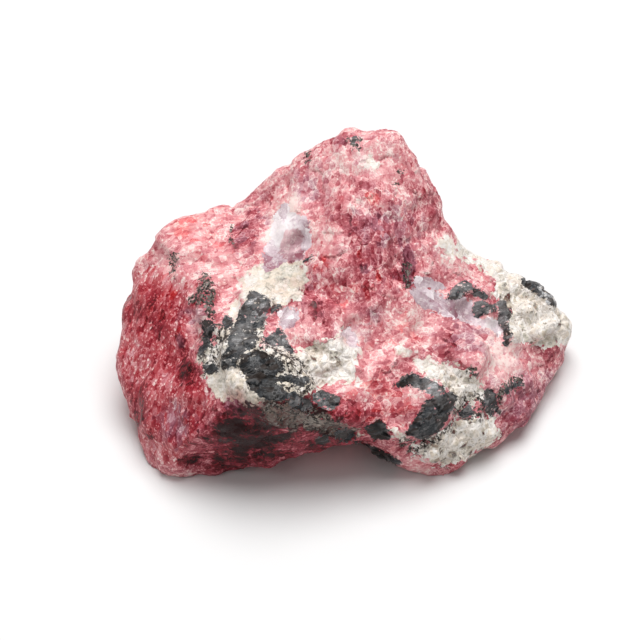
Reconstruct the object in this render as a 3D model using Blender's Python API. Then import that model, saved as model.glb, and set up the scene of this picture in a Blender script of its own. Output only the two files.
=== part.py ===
"""Rough rhodonite: one broken lump of pink rhodonite rock, with quartz and black ore grown in it.

Metres, +Z up. The origin is on the table, under the middle of the stone. +Y points to the back,
so the low, sloping side of the stone faces -Y and the crest stands at the back.
"""

import math

import bmesh
import bpy
from mathutils import Matrix, Vector, noise

MM = 0.001

# How finely the rock is worked, in millimetres.
BLANK_SIZE = 160.0
ROCK_GRID = 1.1
CRYSTAL_GRID = 0.75
EDGE_ROUNDING_PASSES = 4
TRIANGLES = 9400

# A facet is (a point on it in mm, the way it faces: azimuth and elevation in degrees).
# Azimuth 0 faces +X, 90 the back, 180 the left and 270 the front.
LEFT_BLOCK = {
    "top": ((-17, -20, 27), 258, 80),
    "valley_slope": ((-7, -24, 24), 325, 50),
    "left_shoulder": ((-35, 3, 29), 200, 56),
    "upper_left_cheek": ((-33, -9, 22), 212, 38),
    "middle_left_cheek": ((-41.5, -13, 11), 203, 6),
    "lower_left_cheek": ((-38.5, -22, 5), 220, 0),
    "left_end": ((-42.8, -6.5, 15), 180, 0),
    "left_corner": ((-34, -27, 1), 238, -14),
    "front_undercut": ((-20, -31.5, 25), 270, -9),
    "front_arch": ((-11, -25, 3), 290, -46),
    "back_left_end": ((-41.8, -1, 20), 170, 2),
    "back_left_low": ((-39, 4.2, 26), 150, 19),
    "back_left": ((-34.5, 8, 29), 130, 14),
    "back": ((-23, 12.5, 31.5), 110, 25),
    "back_foot": ((-22, 20, 8), 118, -10),
    "back_wall": ((-10, 23, 10), 96, -6),
    "underside": ((-38, 0, 3), 175, -42),
    "base": ((-28, -20, -0.6), 40, -85),
    "joint": ((5, 0, 10), 0, 0),
}
PEAK = {
    "upper_face": ((2, 10, 43.5), 268, 59),
    "lower_face": ((2.5, -8, 31), 268, 52),
    "left_face": ((-9, -5, 30), 218, 50),
    "left_flank": ((-14.4, 13, 36.2), 205, 45),
    "crest": ((5, 16.5, 46.2), 280, 80),
    "crest_right": ((11.6, 15, 43.4), 0, 44),
    "right_brow": ((7, 9, 42.4), 298, 51),
    "right_face": ((14.6, 13.5, 41), 315, 41),
    "back_left_low": ((-16.5, 15, 33.5), 140, 29),
    "back_left": ((-9.6, 16.2, 43), 110, 22),
    "back": ((5, 17.6, 46.5), 80, 34),
    "back_right": ((12.2, 15.3, 43.3), 40, 24),
    "back_right_low": ((17.6, 11.5, 36), 30, 12),
    "back_right_foot": ((21, 8.5, 29), 25, 2),
    "back_left_foot": ((-16, 21, 8), 132, -6),
    "back_foot": ((2, 27, 14), 93, -8),
    "back_heel": ((18, 22, 8), 52, -8),
    "front": ((0, -22, 10), 262, -16),
    "left_joint": ((-24, 0, 10), 190, 20),
    "right_joint": ((30, 0, 10), 350, 30),
    "base": ((4, 18, -0.8), 262, -83),
}
RIGHT_LOBE = {
    "top": ((33, 4.5, 20.0), 310, 60),
    "front_top": ((18, -18, 17.2), 292, 50),
    "back_slope": ((33, 5.2, 20.3), 62, 20),
    "back_right_end": ((42, 3.5, 15.5), 50, 16),
    "back_wall": ((20, 17, 10), 80, 2),
    "right_shoulder": ((42, 0, 12), 340, 40),
    "right_end": ((43.3, -2.6, 9), 345, -8),
    "right_cheek": ((31.8, -8.7, 14.2), 321, 35),
    "front": ((20, -24, 9), 294, 24),
    "front_corner": ((15.5, -28, 1), 270, -10),
    "front_right_foot": ((24.4, -24.3, 1), 305, -5),
    "front_arch": ((12, -26.6, 1), 236, -34),
    "right_underside": ((34.2, -15.3, 3.5), 328, -36),
    "back_foot": ((32, 12, 6), 64, -14),
    "base": ((16, -24, -0.7), 110, -84),
    "joint": ((-4, 0, 10), 200, 20),
}
FRONT_BLOCK = {
    "top": ((0, -20, 23), 285, 72),
    "right_slope": ((6, -27, 18.5), 306, 48),
    "front": ((4, -30.5, 16), 262, -26),
    "left": ((-14, -25, 14), 190, 20),
    "right": ((16, -25, 13), 304, 20),
    "back": ((4, -5, 10), 90, 0),
    "far_slope": ((17, -12, 20.5), 350, 62),
    "joint": ((29, 0, 10), 350, 0),
    "base": ((0, -20, 7), 270, -72),
}
LUMPS = {
    "left_block": LEFT_BLOCK,
    "peak": PEAK,
    "right_lobe": RIGHT_LOBE,
    "front_block": FRONT_BLOCK,
}

# A crystal that stands proud of the break is (centre in mm, direction of its length, direction
# it faces, (length, width, height) in mm), with directions as (azimuth, elevation).
CRYSTALS = {
    "blue_black_block": ((-16.2, -10.7, 28.6), (283, -3), (255, 80), (6.2, 5.4, 3.6)),
    "valley_ore": ((-18.4, -18.6, 27.2), (250, -6), (262, 82), (9, 5.5, 3.2)),
    "fibrous_ore": ((-13.6, -24, 26), (330, -18), (288, 64), (11, 6, 4)),
    "fibrous_ore_end": ((-8.8, -25.4, 23.8), (320, -25), (300, 58), (7.5, 4, 3.8)),
    "rim_ore": ((-12.6, -29, 24), (0, -8), (292, 55), (9, 3.6, 3.4)),
    "rim_ore_end": ((-3.4, -27.6, 20.6), (350, -16), (288, 66), (5.4, 3.4, 3)),
    "left_strip": ((-25.2, -9.5, 28.4), (265, -5), (232, 72), (8.5, 2.8, 2.6)),
    "chevron_left": ((20.8, -2, 22), (52, -8), (325, 50), (5.8, 2.8, 4)),
    "chevron_right": ((25, -0.6, 21), (334, -20), (300, 62), (5.4, 2.6, 4)),
    "wedge": ((26.2, -3.2, 19), (330, -15), (300, 64), (4.8, 3.6, 3.4)),
    "bar": ((30.2, -5, 16.8), (295, -26), (10, 55), (8.2, 2.2, 3.6)),
    "lobe_flat": ((37.2, 2.8, 17), (325, -18), (10, 60), (6.5, 2.8, 2.6)),
    "prism": ((15.4, -24, 13.4), (226, -38), (306, 28), (9.5, 6, 5.4)),
    "prism_top": ((14.4, -21.2, 17.8), (212, -14), (296, 60), (7, 4, 3)),
    "cheek_ore": ((29, -16.4, 11.4), (290, -40), (320, 40), (7, 2.4, 2.6)),
    "pink_step": ((-5.4, -14.2, 26.6), (346, -10), (292, 66), (11.5, 8.5, 4.4)),
    "mauve_step": ((20, -12, 19.8), (322, -16), (298, 54), (15, 7, 4)),
    "back_ledge": ((1, 22.4, 25), (8, 5), (88, 24), (19, 9, 6)),
    "back_ore": ((-9.4, 21.6, 15), (40, 60), (104, 2), (11, 5, 5)),
    "back_ore_low": ((15, 21.4, 9), (335, 34), (66, -6), (11, 6, 5)),
    "left_back_ledge": ((-29, 13.4, 19), (30, 28), (122, 16), (12, 7, 5)),
    "right_back_ledge": ((26, 13.4, 12), (330, 20), (64, 8), (12, 6, 5)),
    "left_end_ledge": ((-40.4, 1, 12), (84, 30), (172, -6), (9, 5, 4)),
}

# Every crystal has one slanting end: the way it faces, and how far along the length it cuts.
SLANTED_END = Vector((1, 0.35, 0.55)).normalized()
END_CUT = 0.42

# Rounded quartz grains: (centre, radius) in mm.
QUARTZ = (
    ((-2.4, -19.8, 23.6), 2.5), ((0.8, -18.4, 23.8), 2.1), ((-4.8, -22, 24), 1.9),
    ((1.6, -21.6, 22.8), 1.7), ((-8, -21.6, 25.6), 1.6), ((-19.6, -26.2, 24.4), 2.3),
    ((-17.2, -28, 24.4), 1.8), ((-10.3, -27.8, 24.6), 1.6), ((-7, -27.2, 22.8), 1.3),
    ((9.4, -29.4, 14.6), 1.5), ((15.6, -27.6, 6.8), 2.7), ((19.4, -25.4, 6.8), 2.4),
    ((23.2, -23.6, 7.6), 2.2), ((26, -22.4, 6.6), 2.5), ((20.6, -26, 3.8), 2.4),
    ((17.4, -26.6, 10), 1.8), ((17.4, -18.6, 18.2), 1.8), ((20.8, -17, 17), 1.7),
    ((34, -1, 17), 2.2), ((36.6, -4.4, 14.4), 2), ((39.4, -1.2, 13.6), 2.3),
    ((-19, 20.6, 13), 2.6), ((-15.6, 22, 9.6), 2.3), ((-21.8, 19.4, 8.6), 2.4),
)

# Uneven fracture surface: (amplitude, wavelength) of its waves, and (level, tilt, width) of the
# small flat breaks that cover it, in mm and, for the tilt, in mm per mm.
WAVES = ((0.9, 14.0), (0.5, 6.0))
BREAKS = ((0.26, 0.12, 9.0), (0.22, 0.2, 4.2))
WAVE_SEED = Vector((5.3, 1.9, 4.6))
SEED_SPREAD = 7.3
SEED_SHIFTS = (Vector((0, 0, 0)), Vector((0, 0, 11)), Vector((0, 0, 22)))

ROCK_COLOUR = (0.56, 0.13, 0.17, 1.0)


def facing(azimuth, elevation):
    """The unit vector of a direction given in degrees."""
    turn, tilt = math.radians(azimuth), math.radians(elevation)
    return Vector((math.cos(turn) * math.cos(tilt), math.sin(turn) * math.cos(tilt), math.sin(tilt)))


def cut_away(bm, point, normal):
    """Removes what lies on the normal's side of a plane and closes the cut with a flat face."""
    every = bm.verts[:] + bm.edges[:] + bm.faces[:]
    cut = bmesh.ops.bisect_plane(
        bm, geom=every, plane_co=point, plane_no=normal, clear_outer=True, dist=1e-7
    )
    rim = [e for e in cut["geom_cut"] if isinstance(e, bmesh.types.BMEdge)]
    if rim:
        bmesh.ops.holes_fill(bm, edges=rim, sides=0)


def broken_lump(facets):
    """A block of rock split along flat facets, as a bmesh."""
    bm = bmesh.new()
    bmesh.ops.create_cube(bm, size=BLANK_SIZE * MM)
    for point, azimuth, elevation in facets.values():
        cut_away(bm, Vector(point) * MM, facing(azimuth, elevation))
    return bm


def crystal_block(centre, along, out, size):
    """A straight-sided crystal with one slanting end, as a bmesh."""
    length, width, height = size
    bm = bmesh.new()
    bmesh.ops.create_cube(bm, size=MM)
    bmesh.ops.scale(bm, vec=(length, width, height), verts=bm.verts)
    cut_away(bm, SLANTED_END * END_CUT * length * MM, SLANTED_END)
    x_axis = facing(*along)
    y_axis = facing(*out).cross(x_axis).normalized()
    turn = Matrix((x_axis, y_axis, x_axis.cross(y_axis))).transposed()
    bmesh.ops.transform(
        bm, matrix=Matrix.Translation(Vector(centre) * MM) @ turn.to_4x4(), verts=bm.verts
    )
    return bm


def quartz_grain(centre, radius):
    bm = bmesh.new()
    place = Matrix.Translation(Vector(centre) * MM)
    bmesh.ops.create_icosphere(bm, subdivisions=1, radius=radius * MM, matrix=place)
    return bm


def joined(pieces):
    """Overlapping pieces in one mesh. A remesh fuses them into one skin afterwards."""
    whole = bmesh.new()
    for bm in pieces:
        piece = bpy.data.meshes.new("piece")
        bm.to_mesh(piece)
        bm.free()
        whole.from_mesh(piece)
        bpy.data.meshes.remove(piece)
    mesh = bpy.data.meshes.new("rhodonite")
    whole.to_mesh(mesh)
    whole.free()
    return mesh


def modified(obj):
    """A new mesh with the object's modifiers applied."""
    graph = bpy.context.evaluated_depsgraph_get()
    graph.update()
    return bpy.data.meshes.new_from_object(obj.evaluated_get(graph))


def fuse(obj, grid, rounding_passes):
    """Makes one closed skin of the overlapping pieces and wears its edges."""
    remesh = obj.modifiers.new("fuse", "REMESH")
    remesh.mode = "VOXEL"
    remesh.voxel_size = grid * MM
    smooth = obj.modifiers.new("round edges", "SMOOTH")
    smooth.iterations = rounding_passes
    smooth.factor = 0.5
    mesh = modified(obj)
    obj.modifiers.clear()
    obj.data = mesh


def break_height(place, level, tilt, width):
    """Height in mm of the flat break at a place: each has its own level and its own tilt."""
    _, seeds = noise.voronoi(place / width + WAVE_SEED)
    offset = place - (seeds[0] - WAVE_SEED) * width
    own = Vector([2 * noise.noise(seeds[0] * SEED_SPREAD + shift) for shift in SEED_SHIFTS])
    return level * own.x + tilt * own.dot(offset)


def roughen(mesh):
    """Moves the surface in and out along its normals, as an uneven break."""
    normals = [v.normal.copy() for v in mesh.vertices]
    for vertex, normal in zip(mesh.vertices, normals):
        place = vertex.co / MM
        push = sum(size * noise.noise(place / length + WAVE_SEED) for size, length in WAVES)
        push += sum(break_height(place, *breaks) for breaks in BREAKS)
        vertex.co += normal * push * MM


def drop_crumbs(mesh):
    """Leaves only the biggest connected skin, so no crumb or sealed bubble stays inside."""
    bm = bmesh.new()
    bm.from_mesh(mesh)
    left = set(bm.verts)
    skins = []
    while left:
        skin = {left.pop()}
        border = list(skin)
        while border:
            vertex = border.pop()
            near = {edge.other_vert(vertex) for edge in vertex.link_edges} & left
            left -= near
            skin |= near
            border += near
        skins.append(skin)
    biggest = max(skins, key=len)
    crumbs = [vertex for vertex in bm.verts if vertex not in biggest]
    bmesh.ops.delete(bm, geom=crumbs, context="VERTS")
    bm.to_mesh(mesh)
    bm.free()


def thin_out(obj):
    decimate = obj.modifiers.new("thin", "DECIMATE")
    decimate.ratio = TRIANGLES / (2 * len(obj.data.vertices))
    mesh = modified(obj)
    obj.modifiers.clear()
    obj.data = mesh


def flatten_base(mesh):
    """Cuts the stone off level at the table, which leaves the flat facets that it rests on."""
    bm = bmesh.new()
    bm.from_mesh(mesh)
    cut_away(bm, Vector((0, 0, 0)), Vector((0, 0, -1)))
    bmesh.ops.triangulate(bm, faces=bm.faces[:])
    bm.to_mesh(mesh)
    bm.free()


def centre_on_origin(mesh):
    """Puts the origin on the table, under the middle of the bounding box."""
    low = [min(v.co[axis] for v in mesh.vertices) for axis in range(3)]
    high = [max(v.co[axis] for v in mesh.vertices) for axis in range(3)]
    middle = Vector(((low[0] + high[0]) / 2, (low[1] + high[1]) / 2, low[2]))
    mesh.transform(Matrix.Translation(-middle))


def rock_material():
    material = bpy.data.materials.new("rhodonite")
    material.use_nodes = True
    shader = material.node_tree.nodes["Principled BSDF"]
    shader.inputs["Base Color"].default_value = ROCK_COLOUR
    shader.inputs["Roughness"].default_value = 0.55
    return material


def build():
    for obj in list(bpy.data.objects):
        bpy.data.objects.remove(obj)
    lumps = [broken_lump(facets) for facets in LUMPS.values()]
    stone = bpy.data.objects.new("rhodonite", joined(lumps))
    bpy.context.scene.collection.objects.link(stone)
    fuse(stone, ROCK_GRID, EDGE_ROUNDING_PASSES)
    roughen(stone.data)
    rock = bmesh.new()
    rock.from_mesh(stone.data)
    crystals = [crystal_block(*crystal) for crystal in CRYSTALS.values()]
    grains = [quartz_grain(*grain) for grain in QUARTZ]
    stone.data = joined([rock] + crystals + grains)
    fuse(stone, CRYSTAL_GRID, 1)
    drop_crumbs(stone.data)
    thin_out(stone)
    flatten_base(stone.data)
    drop_crumbs(stone.data)
    centre_on_origin(stone.data)
    stone.data.materials.clear()
    stone.data.materials.append(rock_material())
    return stone


build()
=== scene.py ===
import math
from itertools import product

import bpy
import numpy as np
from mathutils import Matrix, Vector
from mathutils.bvhtree import BVHTree


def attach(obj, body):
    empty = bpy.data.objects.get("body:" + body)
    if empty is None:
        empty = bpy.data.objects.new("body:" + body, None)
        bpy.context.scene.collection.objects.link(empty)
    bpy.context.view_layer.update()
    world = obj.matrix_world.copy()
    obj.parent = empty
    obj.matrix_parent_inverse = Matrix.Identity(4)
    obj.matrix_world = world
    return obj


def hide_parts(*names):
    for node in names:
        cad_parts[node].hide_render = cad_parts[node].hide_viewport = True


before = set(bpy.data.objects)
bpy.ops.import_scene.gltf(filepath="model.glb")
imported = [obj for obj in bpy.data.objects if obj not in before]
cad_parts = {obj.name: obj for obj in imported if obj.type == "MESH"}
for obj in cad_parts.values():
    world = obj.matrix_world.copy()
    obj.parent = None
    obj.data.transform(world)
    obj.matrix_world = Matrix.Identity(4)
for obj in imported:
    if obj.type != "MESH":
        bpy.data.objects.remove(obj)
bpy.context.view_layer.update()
bpy.ops.object.select_all(action="DESELECT")
print("frame loaded")

mm = 0.001

# The view: lengths in mm, angles in degrees, pixels in a square frame.
viewSettings = {
    "side": 640,
    "lens": 100.0,
    "sensor": 36.0,
    "distance": 337.0,
    "elevation": 45.0,
    "aim": (-0.55, 1.55, 18.0),
    "aimPixel": (344.5, 303.0),
}

stoneSettings = {
    "name": "roughRhodonite",
    "mergeDistance": 0.01,
    "voxel": 0.446,
    "softening": 0.4,       # share of the way to the neighbours' mean
    "sharpAngle": 24,
    "hiddenStep": 1.2,      # mm that something has to stand in front of a point to hide it
}


# Dark ore in blocks with straight edges.
oreOutlines = {
    "blueBlock": ((248, 294), (251, 290), (256, 291), (262, 294), (269, 299), (271, 306),
        (269, 313), (265, 321), (263, 326), (256, 330), (259, 337), (256, 347), (247, 351),
        (242, 354), (237, 363), (238, 368), (229, 368), (226, 371), (222, 368), (222, 355),
        (227, 349), (228, 337), (234, 325), (238, 318), (242, 306), (246, 300)),
    "thinTail": ((269, 309), (279, 304), (283, 306), (276, 311), (270, 315)),
    "brownLump": ((223, 318), (227, 315), (233, 319), (234, 326), (227, 330), (222, 325)),
    "westLump": ((200, 323), (205, 319), (213, 321), (216, 328), (212, 334), (213, 343), (208, 349),
        (200, 356), (197, 350), (204, 343), (204, 334)),
    "westSpot": ((203, 365), (213, 363), (219, 369), (215, 373), (209, 376), (203, 372)),
    "wedgeBlock": ((265, 338), (278, 328), (285, 333), (288, 341), (295, 352), (290, 354),
        (284, 346), (270, 346), (264, 343)),
    "fibrousOre": ((239, 366), (242, 354), (256, 350), (265, 351), (271, 357), (278, 359),
        (284, 364), (286, 370), (277, 373), (277, 377), (286, 375), (300, 377), (308, 377),
        (311, 381), (308, 386), (297, 386), (288, 382), (279, 381), (265, 384), (256, 383),
        (249, 377), (242, 373)),
    "rimOre": ((251, 384), (262, 384), (280, 384), (286, 393), (297, 390), (299, 399), (284, 400),
        (269, 400), (259, 397), (254, 390)),
    "oreLink": ((244, 376), (262, 378), (276, 378), (277, 390), (262, 393), (250, 390)),
    "rimOreEast": ((312, 393), (322, 390), (331, 394), (340, 398), (339, 405), (329, 411),
        (319, 407), (313, 401)),
    "crestOre": ((350, 138), (356, 136), (360, 139), (358, 143), (352, 143)),
    "blueSliver": ((303, 262), (305, 258), (318, 253), (313, 259), (306, 263)),
    "chevronWest": ((445, 300), (452, 288), (464, 280), (474, 286), (489, 296), (487, 300),
        (478, 297), (468, 293), (460, 298), (452, 300)),
    "chevronWedge": ((473, 303), (480, 300), (495, 305), (497, 311), (487, 314), (478, 319),
        (475, 317), (472, 310)),
    "chevronBar": ((495, 303), (502, 301), (506, 304), (512, 313), (509, 322), (510, 330),
        (513, 335), (510, 343), (507, 347), (503, 343), (503, 329), (498, 323), (498, 313)),
    "lobeFlat": ((521, 282), (524, 268), (545, 274), (566, 290), (572, 305), (562, 310), (553, 307),
        (543, 300), (533, 292), (526, 287)),
    "prismTop": ((392, 385), (405, 376), (412, 373), (419, 376), (426, 378), (443, 386), (445, 392),
        (435, 397), (426, 392), (408, 386), (398, 388)),
    "prism": ((437, 396), (451, 391), (458, 397), (452, 410), (448, 420), (440, 430), (428, 439),
        (420, 440), (411, 435), (404, 434), (411, 424), (420, 410), (425, 401)),
    "prismFoot": ((364, 428), (380, 418), (387, 425), (391, 436), (390, 440), (374, 441)),
    "smallOre": ((457, 414), (468, 404), (474, 408), (472, 417), (463, 419)),
    "cheekOre": ((503, 392), (512, 382), (522, 382), (523, 386), (513, 389), (506, 395)),
    "cheekOreLow": ((485, 388), (494, 390), (497, 403), (499, 412), (490, 416), (484, 409)),
    "archOreWest": ((287, 399), (299, 396), (311, 400), (313, 407), (304, 411), (292, 408)),
    "archOreMiddle": ((334, 431), (344, 428), (355, 431), (356, 438), (346, 442), (336, 438)),
    "archOreLow": ((316, 437), (326, 435), (330, 441), (322, 446), (315, 443)),
    "archEdge": ((352, 440), (372, 445), (392, 455), (404, 463), (398, 466), (378, 457),
        (356, 448)),
}

# Dark ore scattered in small grains through the pink rock.
speckOutlines = {
    "leftStrip": ((199, 276), (206, 270), (212, 278), (216, 300), (215, 320), (208, 322),
        (203, 308), (187, 305), (185, 299), (197, 294)),
    "leftSpots": ((168, 252), (178, 252), (176, 278), (168, 276)),
    "westFringe": ((229, 228), (233, 226), (233, 238), (236, 248), (231, 246), (228, 238)),
    "archRim": ((262, 400), (300, 398), (322, 408), (318, 415), (290, 408), (264, 408)),
    "crestSpeck": ((346, 135), (361, 136), (364, 146), (360, 152), (352, 149), (347, 144)),
    "crestWest": ((302, 154), (311, 146), (313, 160), (306, 167)),
    "crestEast": ((399, 170), (404, 172), (402, 176), (398, 174)),
    "crestEastLow": ((395, 182), (400, 183), (399, 188), (395, 187)),
    "cheekSpeck": ((480, 396), (500, 386), (512, 376), (524, 374), (522, 390), (504, 398),
        (490, 412), (480, 410)),
    "bar": ((405, 262), (411, 258), (413, 272), (412, 288), (404, 288), (402, 274)),
    "lilacSpeck": ((464, 366), (478, 366), (482, 376), (468, 378)),
}

# Where ore fills the seams between quartz grains.
seamOutlines = {
    "valleyWest": ((200, 322), (226, 318), (236, 324), (230, 340), (224, 352), (220, 372),
        (204, 378), (198, 356)),
    "valleyEast": ((256, 296), (272, 300), (282, 306), (268, 318), (262, 336), (290, 352),
        (300, 366), (316, 384), (312, 396), (300, 402), (284, 404), (262, 402), (248, 388),
        (240, 368), (258, 346), (250, 320)),
    "frontSeam": ((392, 440), (404, 436), (420, 442), (436, 434), (448, 422), (456, 424),
        (444, 438), (430, 448), (416, 456), (402, 450)),
    "oreSeam": ((454, 400), (468, 392), (484, 388), (500, 392), (502, 414), (484, 420), (462, 420),
        (450, 414)),
    "grainsWest": ((286, 352), (300, 358), (310, 372), (314, 388), (300, 390)),
    "archSeam": ((262, 402), (284, 402), (304, 408), (324, 412), (344, 424), (360, 428), (358, 438),
        (334, 436), (308, 430), (284, 430), (264, 424)),
}

quartzOutlines = {
    "valleyCream": ((241, 277), (252, 268), (262, 262), (274, 258), (285, 257), (303, 262),
        (308, 280), (300, 297), (288, 304), (274, 308), (258, 306), (244, 306), (239, 318),
        (231, 322), (227, 309), (240, 298), (239, 284)),
    "valleyFloor": ((214, 330), (224, 326), (240, 318), (262, 318), (264, 334), (262, 346),
        (284, 346), (296, 354), (300, 376), (312, 392), (300, 402), (262, 402), (240, 403),
        (218, 399), (209, 386), (203, 372), (198, 360), (204, 346), (216, 344)),
    "valleyGrains": ((290, 358), (299, 350), (311, 347), (328, 340), (342, 333), (349, 328),
        (357, 334), (360, 350), (358, 360), (356, 371), (363, 381), (360, 384), (340, 381),
        (322, 388), (312, 392), (300, 390), (286, 378)),
    "lobeGrains": ((480, 265), (487, 246), (512, 254), (540, 268), (570, 290), (590, 315),
        (590, 340), (576, 348), (557, 345), (540, 348), (525, 344), (512, 341), (505, 330),
        (507, 303), (490, 296), (495, 288), (487, 275)),
    "whiteShoulder": ((456, 249), (458, 238), (474, 242), (488, 250), (490, 263), (478, 264),
        (463, 259), (456, 258)),
    "beigeShoulder": ((440, 236), (449, 235), (456, 247), (455, 259), (446, 261), (438, 248)),
    "creamStrip": ((414, 357), (424, 356), (438, 362), (454, 363), (461, 370), (471, 373),
        (481, 386), (487, 388), (486, 400), (480, 404), (467, 404), (463, 413), (454, 413),
        (450, 392), (443, 387), (438, 383), (425, 377), (417, 367)),
    "frontQuartz": ((438, 433), (444, 426), (454, 419), (468, 418), (484, 415), (496, 418),
        (501, 433), (494, 442), (481, 451), (470, 459), (452, 467), (435, 465), (424, 460),
        (411, 454), (412, 445), (424, 442)),
    "archQuartz": ((262, 404), (284, 406), (302, 411), (322, 416), (342, 426), (358, 429),
        (360, 435), (348, 436), (330, 430), (308, 425), (288, 427), (268, 422)),
    "beadLow": ((389, 429), (398, 424), (405, 432), (402, 439), (393, 436)),
    "crestCream": ((358, 161), (370, 157), (382, 159), (379, 167), (366, 169)),
    "beigeStep": ((393, 344), (404, 345), (414, 352), (410, 356), (398, 352)),
}

# Clear grains, lilac, grey or white.
glassOutlines = {
    "lilacBand": ((409, 290), (421, 287), (435, 291), (445, 298), (462, 297), (473, 302),
        (473, 315), (480, 319), (490, 316), (498, 322), (503, 330), (502, 337), (490, 331),
        (477, 325), (463, 320), (447, 318), (436, 313), (423, 310), (415, 303)),
    "valleyHead": ((274, 214), (282, 205), (288, 204), (291, 213), (306, 215), (311, 228),
        (309, 246), (303, 260), (291, 262), (264, 263), (263, 254), (269, 241), (271, 228)),
    "lilacUpper": ((415, 276), (430, 278), (446, 288), (436, 290), (421, 287), (412, 289)),
    "lilacFoot": ((262, 266), (270, 258), (284, 256), (288, 262), (276, 268), (266, 272)),
    "clearBit": ((279, 312), (286, 307), (297, 309), (299, 320), (293, 329), (286, 331),
        (279, 322)),
    "lilacTop": ((341, 334), (349, 326), (357, 334), (358, 348), (350, 346), (345, 338)),
}

# Grains with a clear edge: paler or deeper, more mauve or orange, and the outline.
patchOutlines = {
    "valleyLilac": (-0.6, 0.9, ((277, 254), (283, 240), (285, 232), (301, 228), (305, 238),
        (302, 246), (306, 254), (294, 263), (284, 258))),
    "lilacCrack": (0.9, 0, ((280, 247), (292, 250), (303, 245), (307, 246), (296, 253),
        (284, 252))),
    "mauvePatch": (-0.85, 0.35, ((248, 210), (259, 206), (259, 214), (269, 217), (269, 227),
        (259, 237), (254, 249), (242, 244), (238, 253), (229, 244), (229, 234), (235, 226),
        (245, 220))),
    "barMauve": (-0.75, 0.8, ((404, 248), (410, 244), (415, 258), (413, 286), (406, 288),
        (402, 270))),
    "wineWest": (-0.5, 0, ((306, 286), (319, 286), (320, 291), (314, 293), (305, 289))),
    "wineSouth": (-0.5, 0.2, ((322, 288), (328, 288), (335, 293), (334, 298), (328, 297),
        (322, 293))),
    "wineBlock": (-0.4, 0.1, ((308, 301), (322, 296), (336, 300), (341, 313), (334, 324),
        (322, 323), (312, 315))),
    "wineLow": (-0.35, 0.2, ((352, 300), (362, 296), (368, 304), (362, 316), (354, 312))),
    "wineNorth": (-0.5, 0, ((348, 218), (353, 218), (357, 225), (353, 226), (349, 222))),
    "wineMiddle": (-0.5, 0, ((348, 231), (356, 228), (357, 232), (350, 234))),
    "wineMiddleLow": (-0.5, 0, ((352, 237), (357, 238), (357, 243), (353, 241))),
    "orangeWest": (-0.5, -0.7, ((317, 256), (323, 257), (328, 263), (329, 268), (325, 268),
        (321, 262))),
    "orangeWestLow": (-0.5, -0.7, ((312, 265), (316, 262), (322, 266), (323, 273), (320, 274),
        (312, 268))),
    "orangeMiddle": (-0.35, -0.7, ((356, 248), (361, 250), (361, 257), (357, 255))),
    "mauveGrain": (-0.5, 0.8, ((360, 263), (364, 262), (370, 271), (368, 274), (361, 273))),
    "roseGrain": (-0.6, 0.3, ((398, 239), (402, 237), (407, 243), (405, 247), (399, 246))),
    "brownGrain": (-0.5, 0, ((393, 207), (403, 210), (405, 215), (395, 212))),
    "roseNorth": (-0.5, 0.3, ((375, 209), (382, 208), (385, 217), (378, 222), (373, 218))),
    "salmon": (0.1, -0.7, ((366, 192), (379, 192), (382, 200), (375, 205), (364, 204))),
    "redStreak": (-0.6, -0.9, ((375, 263), (378, 265), (381, 280), (377, 280))),
    "rosePlate": (-0.45, 0.5, ((388, 270), (402, 267), (404, 277), (398, 282), (389, 280))),
    "leftDeep": (-0.35, 0, ((130, 300), (136, 288), (150, 282), (159, 292), (152, 306), (146, 318),
        (136, 320), (129, 312))),
    "leftDeepEast": (-0.25, 0, ((152, 304), (162, 298), (172, 300), (170, 316), (164, 340),
        (154, 342), (150, 322))),
    "leftDeepFar": (-0.5, 0, ((121, 312), (130, 292), (134, 296), (128, 316), (122, 326))),
    "leftWine": (-0.4, 0.25, ((173, 308), (181, 304), (184, 312), (179, 322), (172, 320))),
    "leftFaceOre": (-0.9, 0.5, ((175, 336), (182, 332), (186, 340), (182, 349), (176, 349))),
    "leftFaceOreLow": (-0.5, 0, ((180, 366), (190, 361), (197, 372), (198, 383), (188, 385),
        (181, 377))),
    "leftDeepTop": (-0.5, 0.2, ((147, 246), (160, 243), (158, 249), (148, 252))),
    "leftOrange": (-0.3, -0.7, ((170, 292), (175, 290), (178, 294), (174, 300), (170, 299))),
    "leftMauve": (0.1, 0.6, ((184, 308), (208, 308), (208, 322), (190, 324))),
    "leftDeepLow": (-0.5, 0, ((129, 382), (142, 381), (145, 395), (143, 405), (130, 403))),
    "leftDeepFoot": (-0.6, 0, ((132, 410), (145, 411), (143, 424), (136, 422))),
    "leftDeepTip": (-0.6, 0, ((145, 430), (156, 430), (154, 440), (147, 438))),
    "leftMauveLow": (0.1, 0.3, ((168, 401), (186, 404), (184, 440), (176, 455), (166, 430))),
    # rimShadow and the arch patches below lie in the undercut under the front rim: deeper rock with
    # painted shade on it.
    "rimShadow": (-1.5, 0, ((286, 400), (300, 398), (314, 403), (330, 411), (320, 416), (300, 410),
        (284, 406))),
    "archBand": (-1.0, 0, ((230, 448), (262, 438), (290, 432), (290, 439), (262, 446), (238, 453))),
    "archBandEast": (-1.2, 0, ((306, 427), (328, 425), (350, 431), (350, 439), (324, 436))),
    "crestBrown": (-0.4, 0.3, ((330, 138), (340, 134), (348, 134), (349, 144), (340, 147),
        (331, 145))),
    "archBrown": (-1.0, 0, ((218, 424), (230, 418), (242, 419), (244, 430), (232, 437),
        (220, 434))),
    "archBrownFoot": (-1.3, 0, ((174, 462), (186, 453), (200, 456), (196, 462), (180, 466))),
}

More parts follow.
